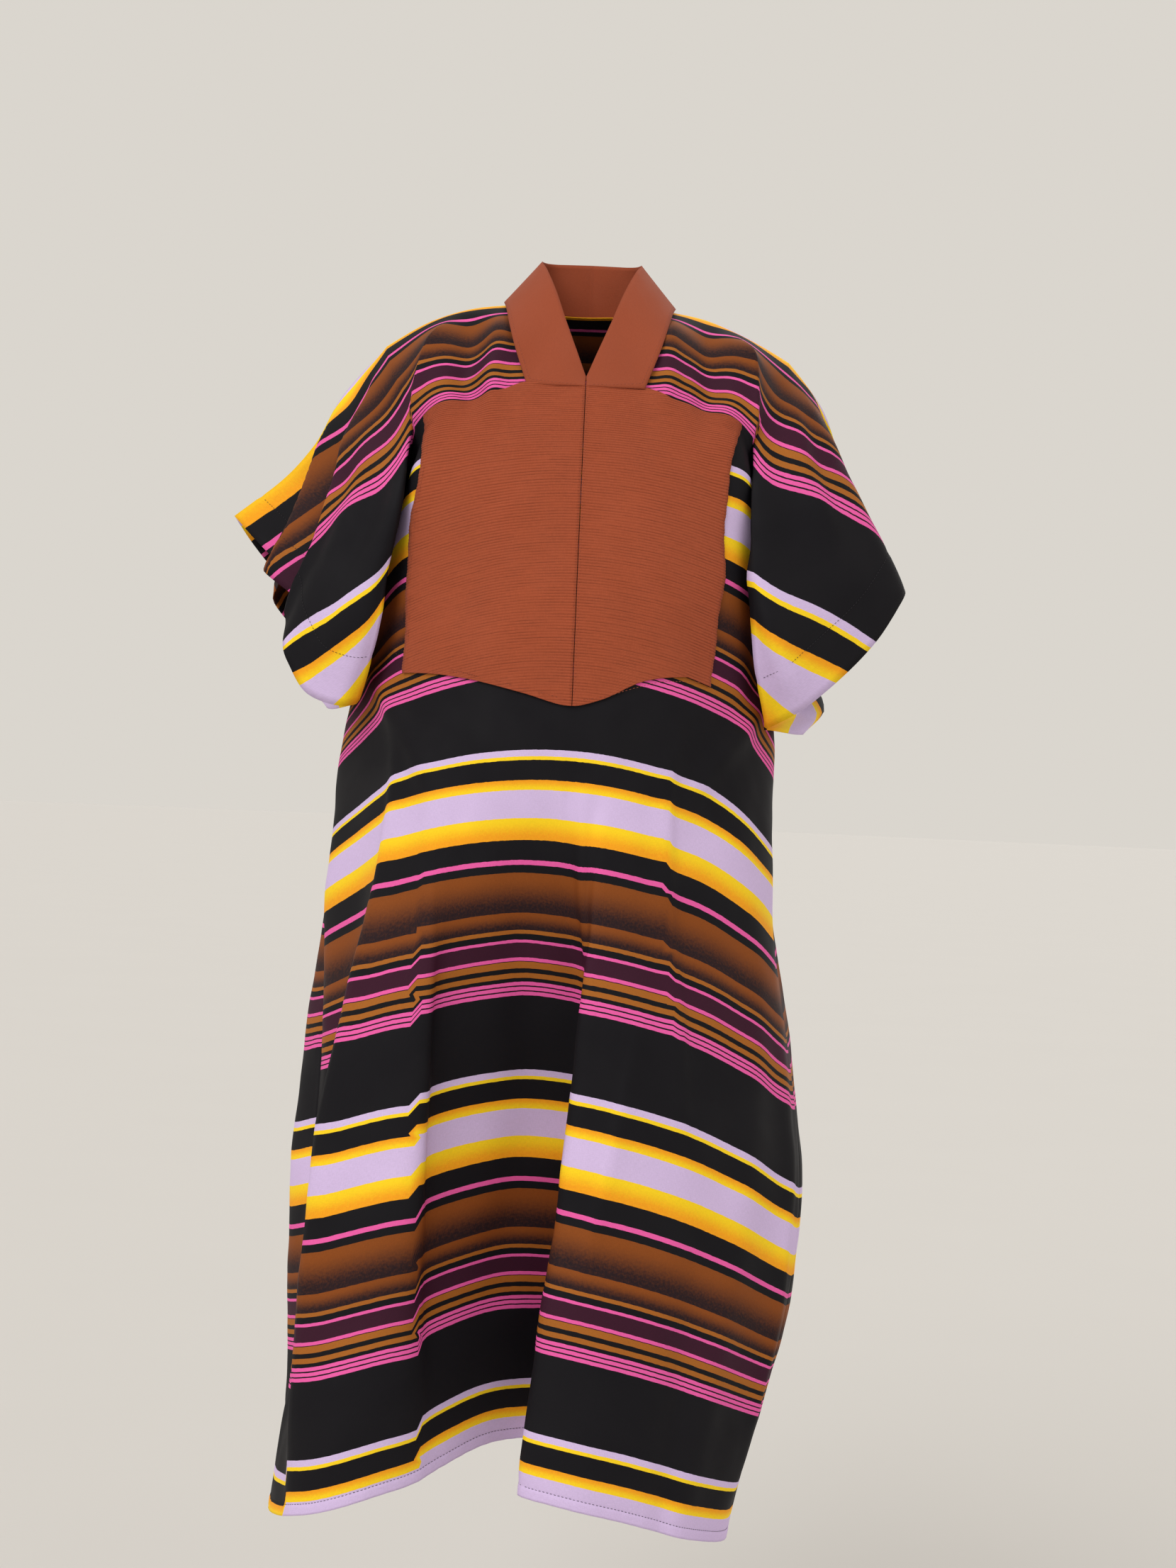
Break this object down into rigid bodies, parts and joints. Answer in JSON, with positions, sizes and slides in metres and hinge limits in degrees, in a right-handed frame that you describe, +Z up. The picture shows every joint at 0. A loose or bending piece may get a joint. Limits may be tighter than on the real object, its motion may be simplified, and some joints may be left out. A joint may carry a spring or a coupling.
{
  "type": "grand boubou robe",
  "caption": "Loose kimono-cut robe in striped cotton, worn form, with wide grown-on sleeves, standing neck band, open V and plain ribbed bib.",
  "frame": {"origin": "base of the neck, at the height of the shoulder seams beside the neck, where the wearer's shoulders carry the robe", "axes": "+Z up along the standing wearer, the robe's front faces -Y, +X towards the wearer's left"},
  "size_m": [0.6391, 0.3825, 1.1956],
  "materials": {
    "striped_cotton": "wax-printed cotton with woven-direction stripes in black, lavender, yellow, brown, maroon and pink",
    "band_cotton": "smooth rust plain-weave cotton",
    "ribbed_cloth": "rust cloth with fine cross ribs"
  },
  "bodies": {
    "root": {"front_panel": "striped_cotton", "back_panel": "striped_cotton", "neck_band": "band_cotton", "bib_right": "ribbed_cloth", "bib_left": "ribbed_cloth"}
  },
  "joints": []
}
